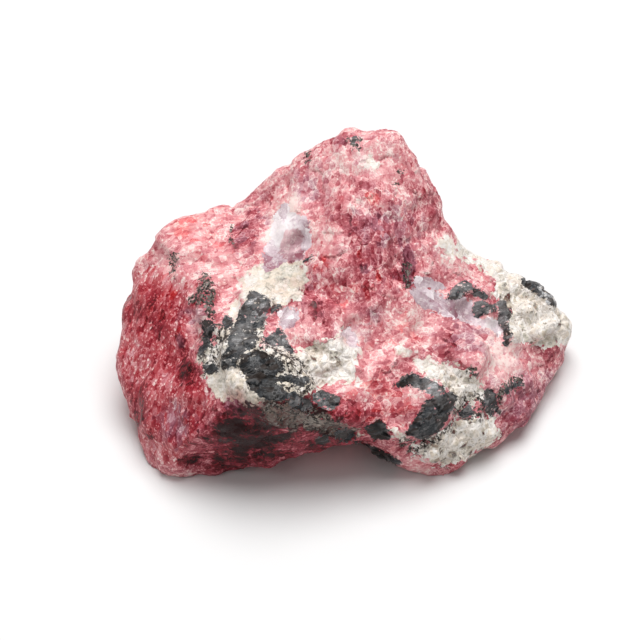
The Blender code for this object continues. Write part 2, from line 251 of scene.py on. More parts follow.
# Soft spots of colour: x, y, radius, strength. Above 0 is paler, below 0 deeper.
paleSpots = {
    "crestPale": (345, 162, 30, 0.3),
    "crestEast": (385, 175, 22, 0.35),
    "crestWest": (305, 172, 18, 0.1),
    "leftTopPale": (200, 238, 34, 0.45),
    "leftTopSouth": (170, 275, 22, 0.35),
    "leftEdgePale": (200, 320, 14, 0.5),
    "westSlopePale": (230, 275, 18, 0.4),
    "pinkWhiteBit": (295, 204, 10, 1.0),
    "headWhite": (283, 232, 22, 1.4),
    "lilacTop": (350, 338, 10, 0.9),
    "lilacFoot": (272, 264, 10, -0.6),
    "cream": (280, 280, 24, -0.95),
    "creamEast": (300, 284, 12, -0.5),
    "frontQuartz": (455, 448, 26, -0.35),
    "bandGrey": (440, 305, 26, -0.2),
    "bandClear": (490, 325, 10, 0.9),
    "clearBit": (288, 317, 11, 1.0),
    "webPale": (330, 232, 12, 0.7),
    "webPaleSouth": (330, 250, 12, 0.4),
    "eastPale": (505, 364, 24, 1.05),
    "stepPale": (425, 330, 22, 0.35),
    "eastPink": (450, 262, 26, 0.4),
    "eastPinkWest": (400, 315, 22, 0.2),
    "lobePink": (500, 330, 14, 0.3),
    "frontBlockPale": (348, 386, 20, 0.75),
    "frontBlockEast": (410, 396, 14, 0.4),
    "midPale": (350, 318, 16, 0.45),
    "midPaleEast": (372, 350, 18, 0.3),
    "lowEdgePink": (420, 468, 13, 0.4),
    "leftFaceUpper": (165, 268, 14, 0.3),
    "leftFaceDeep": (150, 325, 42, -0.8),
    "leftFaceDeepLow": (185, 370, 20, -0.5),
    "leftFaceLow": (140, 412, 30, -0.8),
    "leftFaceFoot": (170, 440, 22, -0.4),
    "leftRidge": (205, 395, 9, 0.15),
    "leftFaceStrip": (203, 412, 14, 0.4),
    "leftTip": (160, 448, 10, 0.6),
    # archDeep and the arch spots further down darken the undercut under the front rim: deeper rock with
    # painted shade on it.
    "archDeep": (253, 425, 46, -1.6),
    "leftFaceDusk": (189, 372, 11, -1.0),
    "headWhiteWest": (277, 232, 12, 0.6),
    # The arch spots: deeper rock of the undercut with painted shade on it.
    "archLow": (250, 452, 34, -0.8),
    "archDeepEast": (335, 440, 42, -1.3),
    "archWest": (215, 445, 30, -0.9),
    "archRim": (290, 405, 22, -0.5),
    "archQuartz": (285, 415, 18, -0.9),
    "archQuartzEast": (335, 425, 20, -0.6),
    "midDeep": (318, 300, 20, -0.25),
    "redNorth": (358, 181, 9, -0.6),
    "redNorthEast": (375, 190, 9, -0.35),
    "grainsWest": (345, 225, 20, -0.35),
    "grainsEast": (385, 245, 32, -0.35),
    "grainsSouth": (375, 290, 26, -0.3),
    "eastMargin": (434, 198, 13, -0.5),
    "peakEdge": (412, 215, 16, -0.1),
    "deepStep": (452, 350, 12, -0.8),
    "deepStepWest": (418, 345, 9, -0.5),
    "deepStepEast": (440, 328, 14, -0.3),
    "shoulderRed": (462, 243, 7, -0.7),
    "eastTip": (552, 352, 13, -0.5),
    "cheekDeep": (528, 408, 34, -0.75),
    "frontBlockDeep": (375, 412, 16, -0.1),
}

# Above 0 is more mauve, below 0 more orange.
mauveSpots = {
    "crestWestMauve": (306, 190, 18, 0.7),
    "creamPink": (292, 286, 20, 0.4),
    "poolPink": (235, 400, 14, 0.9),
    "grainsLilac": (348, 338, 14, 0.6),
    "teardrop": (372, 314, 12, 0.8),
    "cheekMauve": (528, 405, 36, 0.6),
    "eastMauve": (470, 335, 24, 0.6),
    "crestGrey": (362, 160, 14, 0.3),
    "leftFaceLow": (172, 420, 18, 0.5),
    "grainsMauve": (395, 225, 26, 0.5),
    "grainsCentre": (360, 222, 16, 0.4),
    "midPinkWarm": (350, 300, 22, -0.35),
    "frontBlockWarm": (375, 400, 32, -0.5),
    "stepWarm": (400, 330, 20, -0.4),
    "orangeSpot": (182, 227, 13, -0.9),
    "leftTopWarm": (215, 232, 20, -0.3),
    "leftFaceWarm": (150, 310, 40, -0.2),
}

# Ore that is grey or worn: above 0 lighter, below 0 blacker.
oreGreySpots = {
    "wedgeBlock": (276, 340, 12, 0.6),
    "blueBlockEast": (262, 312, 12, 1.1),
    "blueBlock": (238, 345, 16, 0.3),
    "archEdge": (380, 452, 26, -1.2),
    "prismTopGrey": (428, 388, 13, 1.0),
    "lobeFlat": (545, 296, 16, 0.8),
    "chevronWest": (468, 290, 14, 0.45),
    "chevronWedge": (486, 310, 10, 0.4),
    "blueBlockNorth": (256, 300, 9, 0.5),
    "chevronBar": (506, 325, 18, 0.5),
    "sliver": (311, 258, 8, 1.0),
    "crest": (350, 141, 14, 0.5),
    "fibrousOre": (265, 368, 22, -0.8),
    "rimOre": (275, 392, 14, -0.8),
    "westBlack": (208, 330, 9, -0.6),
    "prism": (430, 418, 22, -0.3),
    "prismTopBlack": (403, 381, 9, -0.7),
    "prismFoot": (380, 430, 14, -0.5),
}

# Where quartz is in coarse grains instead of fine sugar.
coarseSpots = {
    "lobe": (530, 310, 45, 1.0),
    "front": (455, 440, 45, 1.0),
    "valleyGrains": (325, 362, 34, 0.7),
    "creamStrip": (455, 380, 30, 0.6),
    "poolWest": (235, 385, 22, 0.4),
    "valleyWest": (212, 352, 14, 0.6),
    "shoulder": (472, 257, 16, 0.5),
}

# On the peak the grains stand upright. Over most of the rest they lie flat.
uprightOutline = ((262, 205), (300, 160), (340, 128), (395, 128), (425, 175), (450, 232),
    (436, 262), (415, 290), (385, 330), (352, 322), (330, 345), (296, 352), (280, 325), (300, 300),
    (304, 262), (300, 215))

# The left end is a fibrous break.
fibreOutline = ((117, 335), (121, 300), (128, 270), (155, 264), (182, 266), (192, 282), (184, 310),
    (190, 360), (206, 388), (214, 402), (195, 432), (178, 468), (150, 462), (132, 432), (118, 378))


def focalPixels():
    return viewSettings["lens"] / viewSettings["sensor"] * viewSettings["side"]


def pixelsPerMm():
    return focalPixels() / viewSettings["distance"]


def viewVectors():
    tilt = math.radians(viewSettings["elevation"])
    backward = np.array((0.0, -math.cos(tilt), math.sin(tilt)))
    upward = np.array((0.0, math.sin(tilt), math.cos(tilt)))
    eye = np.array(viewSettings["aim"]) + backward * viewSettings["distance"]
    return eye, backward, upward


def viewPlace(points):
    # Where points in mm fall in the view, in pixels.
    eye, backward, upward = viewVectors()
    offset = points - eye
    scale = focalPixels() / (-offset @ backward)
    x = viewSettings["aimPixel"][0] + scale * offset[:, 0]
    y = viewSettings["aimPixel"][1] - scale * (offset @ upward)
    return np.stack((x, y), -1)


# Odd numbers that scatter a cell's three counts and its salt, and then each result again.
scatterNumbers = (73856093, 19349663, 83492791)
scatterSalt = 2654435761
scatterAgain = 1274126177
lowHalf, lowWord = 0xFFFF, 0xFFFFFFFF
ownSalt = 17


def latticeRandom(cells, salt):
    # Three even random numbers from 0 to 1 for each whole-number cell.
    x, y, z = (cells.astype(np.int64) * scatterNumbers).T
    mixed = x ^ y ^ z ^ (salt * scatterSalt)
    numbers = []
    for _ in range(3):
        mixed = ((mixed ^ (mixed >> 13)) * scatterAgain) & lowWord
        mixed = mixed ^ (mixed >> 16)
        numbers.append((mixed & lowHalf) / lowHalf)
    return np.stack(numbers, -1)


def ownNumbers(cells, salt):
    # Three random numbers from -1 to 1 that a grain has to itself.
    return latticeRandom(cells, salt + ownSalt) * 2 - 1


aroundCell = tuple(product((-1, 0, 1), repeat=3))
cellCorners = tuple(product((0, 1), repeat=3))
farAway = 1e9


def grains(points, width, salt):
    # The grain that each point is in: the distance to its middle, the middle, and its own numbers.
    place = points / width
    corner = np.floor(place)
    nearest = np.full(len(points), farAway)
    middle = np.zeros_like(points)
    home = np.zeros_like(points)
    for step in aroundCell:
        cell = corner + step
        seed = cell + latticeRandom(cell, salt)
        distance = np.linalg.norm(place - seed, axis=1)
        closer = distance < nearest
        nearest = np.where(closer, distance, nearest)
        middle[closer] = seed[closer]
        home[closer] = cell[closer]
    return nearest * width, middle * width, ownNumbers(home, salt)


def smoothNoise(points, width, salt):
    # Gentle noise from about -1 to 1.
    place = points / width
    corner = np.floor(place)
    part = softStep(0, 1, place - corner)
    total = np.zeros(len(points))
    for step in cellCorners:
        weight = np.prod(np.where(step, part, 1 - part), axis=1)
        total += weight * latticeRandom(corner + step, salt)[:, 0]
    return total * 2 - 1


def flatBreaks(points, width, level, tilt, roundness, salt):
    # Facets that meet in sharp creases, as a height in mm.
    corner = np.floor(points / width)
    lowest = np.full(len(points), farAway)
    height = np.zeros(len(points))
    for step in aroundCell:
        cell = corner + step
        own = ownNumbers(cell, salt)
        away = points - (cell + latticeRandom(cell, salt)) * width
        plane = level * own[:, 0] + tilt * np.sum(own * away, axis=1)
        curve = 2 * tilt / width * np.sum(away * away, axis=1)
        bowl = (plane + curve) * math.copysign(1, tilt)
        lower = bowl < lowest
        lowest = np.where(lower, bowl, lowest)
        height = np.where(lower, plane + roundness * curve, height)
    return height


def softStep(low, high, value):
    share = np.clip((value - low) / (high - low), 0, 1)
    return share * share * (3 - 2 * share)


def within(distance, border):
    return softStep(-border, border, distance)


def outlineDistance(places, outline):
    # Signed distance to an outline in mm, above 0 inside.
    corners = np.array(outline, float)
    nearest = np.full(len(places), farAway)
    inside = np.zeros(len(places), bool)
    for a, b in zip(corners, np.roll(corners, -1, axis=0)):
        along = b - a
        share = np.clip(((places - a) @ along) / (along @ along), 0, 1)
        gap = np.linalg.norm(places - a - share[:, None] * along, axis=1)
        nearest = np.minimum(nearest, gap)
        crosses = (a[1] > places[:, 1]) != (b[1] > places[:, 1])
        at = a[0] + (places[:, 1] - a[1]) * along[0] / (along[1] if along[1] else 1 / farAway)
        inside ^= crosses & (places[:, 0] < at)
    return np.where(inside, nearest, -nearest) / pixelsPerMm()


def outlinesDistance(places, outlines):
    # Above 0 inside any of them.
    return np.max([outlineDistance(places, outline) for outline in outlines.values()], axis=0)


def spotSum(places, spots):
    total = np.zeros(len(places))
    for x, y, radius, strength in spots.values():
        away = np.hypot(places[:, 0] - x, places[:, 1] - y) / radius
        total += strength * np.exp(-away * away)
    return total


def meshArrays(mesh):
    # Points in mm and their normals.
    arrays = []
    for name in ("co", "normal"):
        values = np.empty(len(mesh.vertices) * 3, np.float32)
        mesh.vertices.foreach_get(name, values)
        arrays.append(values.reshape(-1, 3).astype(float))
    return arrays[0] / mm, arrays[1]


def meshEdges(mesh):
    edges = np.empty(len(mesh.edges) * 2, np.int32)
    mesh.edges.foreach_get("vertices", edges)
    return edges.reshape(-1, 2)


def spreadOut(values, edges, passes):
    # Each pass gives every point the mean of its neighbours.
    count = len(values)
    ways = np.bincount(edges.ravel(), minlength=count).astype(float)
    for _ in range(passes):
        total = np.zeros_like(values)
        for axis in range(values.shape[1]):
            total[:, axis] += np.bincount(edges[:, 0], values[edges[:, 1], axis], count)
            total[:, axis] += np.bincount(edges[:, 1], values[edges[:, 0], axis], count)
        values = total / ways[:, None]
    return values


def activate(obj):
    bpy.ops.object.select_all(action="DESELECT")
    obj.select_set(True)
    bpy.context.view_layer.objects.active = obj


def applyModifier(obj, modifier):
    activate(obj)
    bpy.ops.object.modifier_apply(modifier=modifier.name)


def fineStone(node):
    # A copy of the solid, merged and given a fine even skin.
    stone = bpy.data.objects.new(stoneSettings["name"], node.data.copy())
    bpy.context.scene.collection.objects.link(stone)
    activate(stone)
    bpy.ops.object.mode_set(mode="EDIT")
    bpy.ops.mesh.select_all(action="SELECT")
    bpy.ops.mesh.remove_doubles(threshold=stoneSettings["mergeDistance"] * mm)
    bpy.ops.mesh.normals_make_consistent(inside=False)
    bpy.ops.object.mode_set(mode="OBJECT")
    remesh = stone.modifiers.new("fineSkin", "REMESH")
    remesh.mode = "VOXEL"
    remesh.voxel_size = stoneSettings["voxel"] * mm
    applyModifier(stone, remesh)
    soften = stone.modifiers.new("softSkin", "SMOOTH")
    soften.factor = stoneSettings["softening"]
    soften.iterations = 1
    applyModifier(stone, soften)
    return stone


def seenFromView(points, mesh):
    # 1 where the view sees a point, 0 where the stone hides it.
    faces = [tuple(face.vertices) for face in mesh.polygons]
    tree = BVHTree.FromPolygons([tuple(point) for point in points], faces)
    eye, _, _ = viewVectors()
    start = Vector(eye)
    seen = np.zeros((len(points), 1))
    for index, point in enumerate(points):
        ray = Vector(point) - start
        length = ray.length
        hit = tree.ray_cast(start, ray / length, length - stoneSettings["hiddenStep"])
        seen[index] = hit[0] is None
    return seen


# How much each kind's border follows whole grains instead of its outline.
outlineSettings = {
    "ore": (oreOutlines, 0.0),
    "speck": (speckOutlines, 0.2),
    "seam": (seamOutlines, 0.3),
    "quartz": (quartzOutlines, 0.55),
    "glass": (glassOutlines, 0.3),
}
spotSettings = {"coarse": coarseSpots, "tone": paleSpots, "mauve": mauveSpots, "oreGrey": oreGreySpots}
borderSettings = {
    "grains": (1.3, 5),             # width in mm, salt
    "patchGrain": 0.4,              # how much a patch's border follows whole grains
    "patchSoftness": 0.15,          # mm
    "reach": 4,                     # mm beyond which a border no longer counts
    "sugarGrain": (2.3, 80),        # width in mm, salt
    "sugarTone": 0.6,
}

# What the hidden sides are made of.
hiddenSettings = {
    # a level, then the strength, width in mm and salt of each noise
    "noises": {
        "ore": (-2.3, (2.4, 13, 41)),
        "speck": (-1.6, (2.4, 9, 44)),
        "quartz": (-1.1, (1.6, 8, 45)),
        "glass": (-2.6, (2.5, 10, 46)),
        "fibre": (-2.0,),
        "upright": (0.0, (5.0, 20, 56)),
        "coarse": (0.5, (0.7, 12, 57)),
        "tone": (-0.05, (0.45, 12, 47), (0.3, 5, 48)),
        "mauve": (0.1, (0.6, 17, 53), (0.4, 6, 54)),
        "oreGrey": (0.0, (0.8, 7, 55)),
    },
    # the strength, width in mm, salt and which of the grain's numbers
    "grains": {"ore": (1.3, 4.2, 32, 0), "speck": (0.8, 4.2, 32, 2), "quartz": (0.7, 9.0, 31, 1),
               "glass": (0.8, 4.2, 32, 1)},
    "vein": (24, 43),               # width in mm, salt
    "veinSteepness": 4,
    "veinStrength": {"ore": 0.7, "quartz": 1.5},
    "fibreStrength": 4,
    "fibreSide": (0.35, 0.75),      # how far a side faces left
    "seamByOre": 1.4,
    "seamByQuartz": 0.5,
    "oreDrop": 3,                   # keeps ore off the border of the seen side
    "oreDropRange": (0.0, 0.15),
    "seenRange": (0.02, 0.3),
}


def seenKinds(places, grainPlaces):
    kinds = {}
    for name, (outlines, ragged) in outlineSettings.items():
        own = outlinesDistance(places, outlines)
        kinds[name] = (1 - ragged) * own + ragged * outlinesDistance(grainPlaces, outlines)
    kinds["fibre"] = outlineDistance(places, fibreOutline)
    kinds["upright"] = outlineDistance(places, uprightOutline)
    for name, spots in spotSettings.items():
        kinds[name] = spotSum(places, spots)
    ragged = borderSettings["patchGrain"]
    for tone, mauve, outline in patchOutlines.values():
        own = outlineDistance(places, outline)
        distance = (1 - ragged) * own + ragged * outlineDistance(grainPlaces, outline)
        inside = within(distance, borderSettings["patchSoftness"])
        kinds["tone"] += tone * inside
        kinds["mauve"] += mauve * inside
    return kinds


def hiddenKinds(points, normals):
    settings = hiddenSettings
    kinds = {}
    for name, (level, *noises) in settings["noises"].items():
        kinds[name] = np.full(len(points), level)
        for strength, width, salt in noises:
            kinds[name] += strength * smoothNoise(points, width, salt)
    for name, (strength, width, salt, index) in settings["grains"].items():
        kinds[name] += strength * grains(points, width, salt)[2][:, index]
    vein = 1 - settings["veinSteepness"] * np.abs(smoothNoise(points, *settings["vein"]))
    for name, strength in settings["veinStrength"].items():
        kinds[name] += strength * vein
    kinds["fibre"] += settings["fibreStrength"] * softStep(*settings["fibreSide"], -normals[:, 0])
    kinds["seam"] = np.minimum(kinds["ore"] + settings["seamByOre"],
                               kinds["quartz"] + settings["seamByQuartz"])
    return kinds


def surfaceKinds(points, normals, seen):
    # What each point is made of, as distances in mm that are above 0 inside, and its tones.
    middle = grains(points, *borderSettings["grains"])[1]
    view = seenKinds(viewPlace(points), viewPlace(middle))
    away = hiddenKinds(points, normals)
    away["ore"] -= hiddenSettings["oreDrop"] * softStep(*hiddenSettings["oreDropRange"], seen)
    share = softStep(*hiddenSettings["seenRange"], seen)
    reach = borderSettings["reach"]
    kinds = {name: np.clip(share * view[name] + (1 - share) * away[name], -reach, reach) for name in view}
    own = grains(points, *borderSettings["sugarGrain"])[2]
    coarse = np.clip(kinds["coarse"], 0, 1)
    kinds["tone"] += borderSettings["sugarTone"] * own[:, 1] * (kinds["quartz"] > 0) * coarse
    return kinds


reliefSettings = {
    "seenSpread": 30,               # passes that soften the border of the seen side
    "hollowSpread": 3,              # passes that find the hollows
    # salt, then for each break its width in mm, level, tilt and roundness
    "pinkBreaks": (60, (3.4, -0.1, -0.11, 0.4), (1.5, -0.04, -0.09, 0.4)),
    "oreBreaks": (70, (3.2, -0.16, -0.2, 0.1), (1.5, -0.06, -0.12, 0.1)),
    "quartzBreaks": (80, (2.3, -0.06, -0.12, 0.4), (1.0, -0.06, -0.12, 0.3)),
    "fibreBreaks": (90, (2.6, -0.10, -0.09, 0.5), (1.2, -0.05, -0.08, 0.5)),
    "fibreDirection": (0.22, 0.45, 0.87),
    "fibreStretch": 4.0,
    "oreRise": 0.12,                # mm that the ore stands proud
    "glassBreaks": 0.5,             # as a share of the pink rock's
    "sugarBreaks": 0.2,             # fine quartz, as a share of the coarse quartz's
    "pits": (5.0, 95),              # spacing in mm, salt
    "pitDepth": 0.4,
    "pitWidth": 0.3,                # as a share of the spacing
    "pitRarity": 0.3,               # between -1, all grains, and 1, none
    "baseClear": 0.7,               # mm above the base where the relief is whole
    # mm that each kind's relief takes to fade out past its border
    "oreBorder": 0.2,
    "glassBorder": 0.25,
    "quartzBorder": 0.3,
    "fibreBorder": 0.6,
}


def breaksHeight(name, points):
    salt, *breaks = reliefSettings[name]
    total = sum(flatBreaks(points, *values, salt + i) for i, values in enumerate(breaks))
    return total - total.mean()


def alongFibres(points):
    # The points squeezed along the left end's fibres, so that round grains come out long.
    direction = np.array(reliefSettings["fibreDirection"])
    direction /= np.linalg.norm(direction)
    return points - np.outer(points @ direction * (1 - 1 / reliefSettings["fibreStretch"]), direction)


def reliefHeight(points, kinds):
    # The fine break: flats in the pink rock, blocks of ore and sharp quartz grains.
    settings = reliefSettings
    ore = within(kinds["ore"], settings["oreBorder"])
    glass = within(kinds["glass"], settings["glassBorder"]) * (1 - ore)
    quartz = within(kinds["quartz"], settings["quartzBorder"]) * (1 - ore) * (1 - glass)
    fibre = within(kinds["fibre"], settings["fibreBorder"]) * (1 - ore)
    pink = np.clip(1 - ore - quartz - glass, 0, 1)
    pinkHeight = breaksHeight("pinkBreaks", points)
    fibreHeight = breaksHeight("fibreBreaks", alongFibres(points))
    near, _, own = grains(points, *settings["pits"])
    pits = np.clip(1 - near / (settings["pitWidth"] * settings["pits"][0]), 0, 1)
    pits *= settings["pitDepth"] * (own[:, 0] > settings["pitRarity"])
    height = pink * ((1 - fibre) * pinkHeight + fibre * fibreHeight - pits)
    height += ore * (settings["oreRise"] + breaksHeight("oreBreaks", points))
    fine = settings["sugarBreaks"]
    coarse = fine + (1 - fine) * np.clip(kinds["coarse"], 0, 1)
    height += quartz * coarse * breaksHeight("quartzBreaks", points)
    height += glass * settings["glassBreaks"] * pinkHeight
    return height * softStep(0.0, settings["baseClear"], points[:, 2])


def carve(mesh, edges):
    points, normals = meshArrays(mesh)
    seen = spreadOut(seenFromView(points, mesh), edges, reliefSettings["seenSpread"])
    kinds = surfaceKinds(points, normals, seen[:, 0])
    points = points + normals * reliefHeight(points, kinds)[:, None]
    points[:, 2] = np.maximum(points[:, 2], 0)
    mesh.vertices.foreach_set("co", (points * mm).astype(np.float32).ravel())
    mesh.update()
    return kinds


def hollowness(mesh, edges):
    # Above 0 in hollows and below 0 on edges, in mm.
    points, normals = meshArrays(mesh)
    smooth = spreadOut(points, edges, reliefSettings["hollowSpread"])
    return np.sum((smooth - points) * normals, axis=1)


def makeStone():
    stone = fineStone(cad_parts["rhodonite"])
    mesh = stone.data
    print("fine skin:", len(mesh.polygons) * 2, "triangles")
    for polygon in mesh.polygons:
        polygon.use_smooth = True
    edges = meshEdges(mesh)
    kinds = carve(mesh, edges)
    kinds["hollow"] = hollowness(mesh, edges)
    for name, values in kinds.items():
        attribute = mesh.attributes.new(name, "FLOAT", "POINT")
        attribute.data.foreach_set("value", values.astype(np.float32))
    mesh.set_sharp_from_angle(angle=math.radians(stoneSettings["sharpAngle"]))
    print("stone carved")
    return stone, tuple(kinds)


rockColours = {
    "umber": (40, 5, 7),
    "wine": (100, 18, 28),
    "crimson": (154, 26, 42),
    "crimsonPale": (190, 78, 84),
    "deepRed": (150, 48, 61),
    "rose": (184, 95, 104),
    "pink": (216, 136, 142),
    "pale": (238, 180, 180),
    "powder": (250, 226, 220),
    "mauveDeep": (100, 30, 48),
    "mauve": (166, 98, 113),
    "mauvePale": (214, 172, 180),
    "orangeRed": (204, 74, 62),
    "quartzWhite": (248, 242, 236),
    "quartz": (228, 219, 208),
    "quartzGrey": (146, 138, 132),
    "quartzGreen": (196, 190, 176),
    "quartzBrown": (96, 62, 56),
    "quartzCream": (236, 216, 192),
    "greyBrown": (128, 104, 88),
    "ore": (54, 57, 61),
    "oreGrey": (122, 120, 120),
    "oreDark": (14, 12, 12),
    "oreBrown": (58, 46, 40),
    "glint": (196, 196, 198),
    "speck": (106, 96, 88),
    "pinkTint": (240, 206, 208),
    "lilac": (194, 172, 180),
    "lilacDeep": (158, 108, 122),
    "lilacPale": (228, 212, 218),
    "lilacWhite": (250, 242, 244),
}


def rockColour(name):
    # The shader's own colour for 0 to 255 screen values.
    values = []
    for part in rockColours[name]:
        part /= 255
        values.append(part / 12.92 if part <= 0.04045 else ((part + 0.055) / 1.055) ** 2.4)
    return (*values, 1.0)


def node(tree, kind, **values):
    made = tree.nodes.new(kind)
    for key, value in values.items():
        setattr(made, key, value)
    return made


def plug(tree, source, target):
    tree.links.new(source, target)


def setInput(tree, socket, value):
    # The value is another node's socket, the name of a colour or a constant.
    if isinstance(value, bpy.types.NodeSocket):
        plug(tree, value, socket)
    else:
        socket.default_value = rockColour(value) if isinstance(value, str) else value


def maths(tree, operation, *values):
    made = node(tree, "ShaderNodeMath", operation=operation)
    for socket, value in zip(made.inputs, values):
        setInput(tree, socket, value)
    return made.outputs[0]


def times(tree, result, *others):
    for other in others:
        result = maths(tree, "MULTIPLY", result, other)
    return result


def highest(tree, result, *others):
    for other in others:
        result = maths(tree, "MAXIMUM", result, other)
    return result


def vectorMaths(tree, operation, a, b=None, scale=None):
    made = node(tree, "ShaderNodeVectorMath", operation=operation)
    setInput(tree, made.inputs[0], a)
    if b is not None:
        setInput(tree, made.inputs[1], b)
    if scale is not None:
        setInput(tree, made.inputs["Scale"], scale)
    return made.outputs["Value" if operation == "DOT_PRODUCT" else "Vector"]


def mapRange(tree, value, fromLow, fromHigh, toLow=0.0, toHigh=1.0, kind="SMOOTHSTEP"):
    made = node(tree, "ShaderNodeMapRange", interpolation_type=kind)
    for label, number in (("Value", value), ("From Min", fromLow), ("From Max", fromHigh),
                          ("To Min", toLow), ("To Max", toHigh)):
        setInput(tree, made.inputs[label], number)
    return made.outputs["Result"]


# Where a mix node has the two values that it mixes and the result, by what it mixes.
mixSockets = {"FLOAT": (2, 3, 0), "VECTOR": (4, 5, 1), "RGBA": (6, 7, 2)}


def mix(tree, kind, factor, a, b, **values):
    made = node(tree, "ShaderNodeMix", data_type=kind, **values)
    first, second, result = mixSockets[kind]
    for index, value in ((0, factor), (first, a), (second, b)):
        setInput(tree, made.inputs[index], value)
    return made.outputs[result]


def mixValue(tree, factor, a, b):
    return mix(tree, "FLOAT", factor, a, b)


def mixColour(tree, factor, a, b, blend="MIX"):
    return mix(tree, "RGBA", factor, a, b, blend_type=blend)


def mixVector(tree, factor, a, b):
    # One or the other, because a place between the two would smear the grains.
    return mix(tree, "VECTOR", maths(tree, "GREATER_THAN", factor, 0.5), a, b)


def ramp(tree, value, stops):
    # Colours along a value, with the stops anywhere on its scale.
    made = node(tree, "ShaderNodeValToRGB")
    elements = made.color_ramp.elements
    low, high = stops[0][0], stops[-1][0]
    while len(elements) < len(stops):
        elements.new(0.5)
    for element, (position, name) in zip(elements, stops):
        element.position = (position - low) / (high - low)
        element.color = rockColour(name)
    plug(tree, mapRange(tree, value, low, high, kind="LINEAR"), made.inputs[0])
    return made.outputs[0]


def attributeValue(tree, name):
    return node(tree, "ShaderNodeAttribute", attribute_name=name).outputs["Fac"]


def noiseNode(tree, place, scale, detail, roughness=0.5):
    made = node(tree, "ShaderNodeTexNoise", noise_dimensions="3D")
    plug(tree, place, made.inputs["Vector"])
    for label, value in (("Scale", scale), ("Detail", detail), ("Roughness", roughness)):
        made.inputs[label].default_value = value
    return made


def turnedPlace(tree, place, turn, stretch):
    made = node(tree, "ShaderNodeMapping", vector_type="TEXTURE")
    made.inputs["Rotation"].default_value = tuple(math.radians(angle) for angle in turn)
    made.inputs["Scale"].default_value = stretch
    plug(tree, place, made.inputs["Vector"])
    return made.outputs[0]


def newGroup(name, numbers, results):
    # A group that takes a place and some numbers and puts out values.
    group = bpy.data.node_groups.new(name, "ShaderNodeTree")
    group.interface.new_socket("Place", in_out="INPUT", socket_type="NodeSocketVector")
    for label, value in numbers.items():
        socket = group.interface.new_socket(label, in_out="INPUT", socket_type="NodeSocketFloat")
        socket.default_value = value
    for label in results:
        group.interface.new_socket(label, in_out="OUTPUT", socket_type="NodeSocketFloat")
    return group, group.nodes.new("NodeGroupInput"), group.nodes.new("NodeGroupOutput")


halfVector = (0.5, 0.5, 0.5)


def makeGrainGroup():
    # Crystal grains: two random numbers for each, and the tilted flat it broke along in mm.
    tree, given, result = newGroup("crystalGrains", {"Scale": 0.5}, ("Number", "Second Number", "Flat"))
    cells = node(tree, "ShaderNodeTexVoronoi", feature="F1")
    plug(tree, given.outputs["Place"], cells.inputs["Vector"])
    plug(tree, given.outputs["Scale"], cells.inputs["Scale"])
    parts = node(tree, "ShaderNodeSeparateColor")
    plug(tree, cells.outputs["Color"], parts.inputs["Color"])
    own = vectorMaths(tree, "SUBTRACT", cells.outputs["Color"], halfVector)
    away = vectorMaths(tree, "SUBTRACT", given.outputs["Place"], cells.outputs["Position"])
    plug(tree, parts.outputs[0], result.inputs["Number"])
    plug(tree, parts.outputs[1], result.inputs["Second Number"])
    plug(tree, vectorMaths(tree, "DOT_PRODUCT", own, away), result.inputs["Flat"])
    return tree


def makeBorderGroup():
    # Thin lines where crystal grains meet: 1 on the line.
    tree, given, result = newGroup("grainBorders", {"Scale": 0.5, "Width": 0.1}, ("Line",))
    border = node(tree, "ShaderNodeTexVoronoi", feature="DISTANCE_TO_EDGE")
    plug(tree, given.outputs["Place"], border.inputs["Vector"])
    plug(tree, given.outputs["Scale"], border.inputs["Scale"])
    gap = maths(tree, "DIVIDE", border.outputs["Distance"], given.outputs["Scale"])
    plug(tree, mapRange(tree, gap, 0.0, given.outputs["Width"], 1.0, 0.0), result.inputs["Line"])
    return tree


grainGroup = makeGrainGroup()
borderGroup = makeBorderGroup()


def useGroup(tree, group, **values):
    made = node(tree, "ShaderNodeGroup", node_tree=group)
    for label, value in values.items():
        setInput(tree, made.inputs[label], value)
    return made.outputs


# The middles of patterns that run from 0 to 1. What isn't named here lies about 0 as it is.
patternMiddles = dict.fromkeys(("edge", "lump", "big", "middle", "middleOther", "small", "flake",
                                "cloud", "dust", "patch", "strand"), 0.5)
patternMiddles.update(rim=0.35, pale=0.25)


def fromMiddle(tree, rock, name):
    middle = patternMiddles.get(name)
    return maths(tree, "SUBTRACT", rock[name], middle) if middle else rock[name]


def mixture(tree, rock, weights, start=0.0):
    # Adds what is named, each times its own weight.
    total = start
    for name, weight in weights.items():
        part = times(tree, fromMiddle(tree, rock, name), weight)
        total = maths(tree, "ADD", total, part)
    return total


